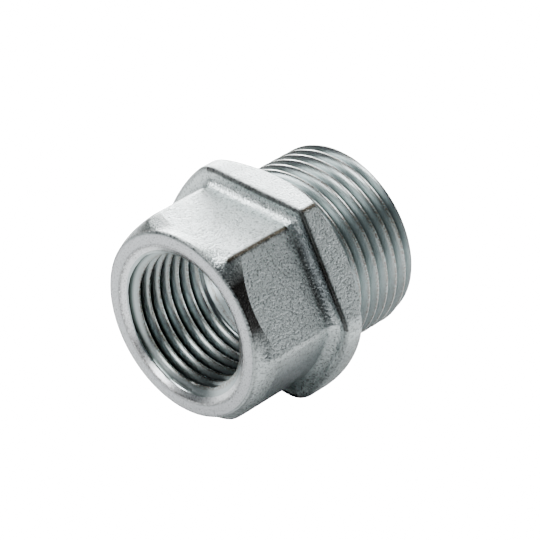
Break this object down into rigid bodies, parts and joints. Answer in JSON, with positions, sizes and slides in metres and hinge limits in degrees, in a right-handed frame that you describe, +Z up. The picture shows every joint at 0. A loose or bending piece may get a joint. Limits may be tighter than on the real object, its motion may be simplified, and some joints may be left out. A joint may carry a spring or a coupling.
{
  "type": "reducing pipe nipple",
  "caption": "Reducing pipe nipple: a hexagonal barrel with an internal pipe thread, a wider wrench flange and a larger external pipe thread, all on one flow axis.",
  "frame": {"origin": "on the flow axis, halfway between the two end faces", "axes": "+X along the flow axis from the female end to the male end, +Z up out of one flange flat, +Y across"},
  "size_m": [0.032, 0.034, 0.03],
  "materials": {
    "zinc_coated_iron": "bright zinc coat, grainy where it was cast and smooth where it was turned"
  },
  "bodies": {
    "root": {"reducing_nipple": "zinc_coated_iron"}
  },
  "joints": []
}
